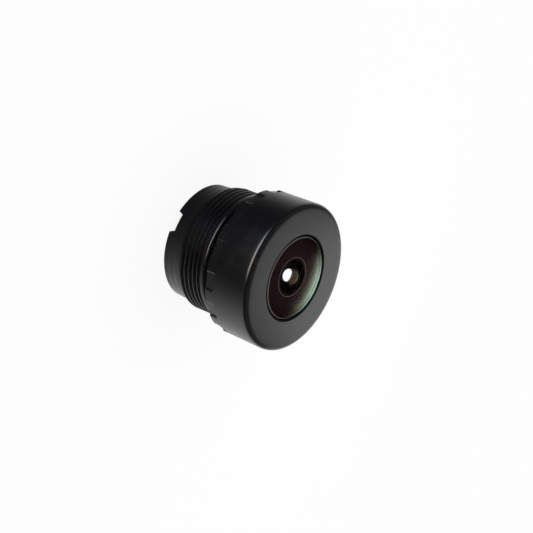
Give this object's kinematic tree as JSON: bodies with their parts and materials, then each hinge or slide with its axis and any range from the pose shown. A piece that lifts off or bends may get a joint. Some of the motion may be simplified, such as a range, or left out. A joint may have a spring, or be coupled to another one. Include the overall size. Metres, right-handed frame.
{
  "type": "m12 board camera lens",
  "caption": "Wide-angle board camera lens: black threaded barrel with a wide round head, large front glass and a stack of inner glasses, foils and rings.",
  "frame": {"origin": "on the optical axis, in the plane of the barrel's rear rim that it stands on", "axes": "+Z along the optical axis, out of the front glass; +X through one of the two spanner slots"},
  "size_m": [0.0142, 0.0142, 0.0116],
  "materials": {
    "moulded_plastic": "fine satin moulding grain",
    "coated_glass": "polished, anti-reflection coated",
    "filter_glass": "polished, coated",
    "seal_rubber": "matte",
    "baffle_foil": "matte",
    "spacer_plastic": "matte",
    "stop_metal": "matte black"
  },
  "bodies": {
    "root": {"barrel": "moulded_plastic", "front_lens": "coated_glass", "front_seal": "seal_rubber", "front_baffle": "baffle_foil", "second_lens": "coated_glass", "upper_spacer": "spacer_plastic", "third_lens": "coated_glass", "stop_clamp_ring": "spacer_plastic", "aperture_stop": "stop_metal", "lower_spacer": "spacer_plastic", "fourth_lens": "coated_glass", "middle_baffle": "baffle_foil", "pair_spacer": "spacer_plastic", "fifth_lens": "coated_glass", "sixth_lens": "coated_glass", "ir_cut_filter": "filter_glass"}
  },
  "joints": []
}
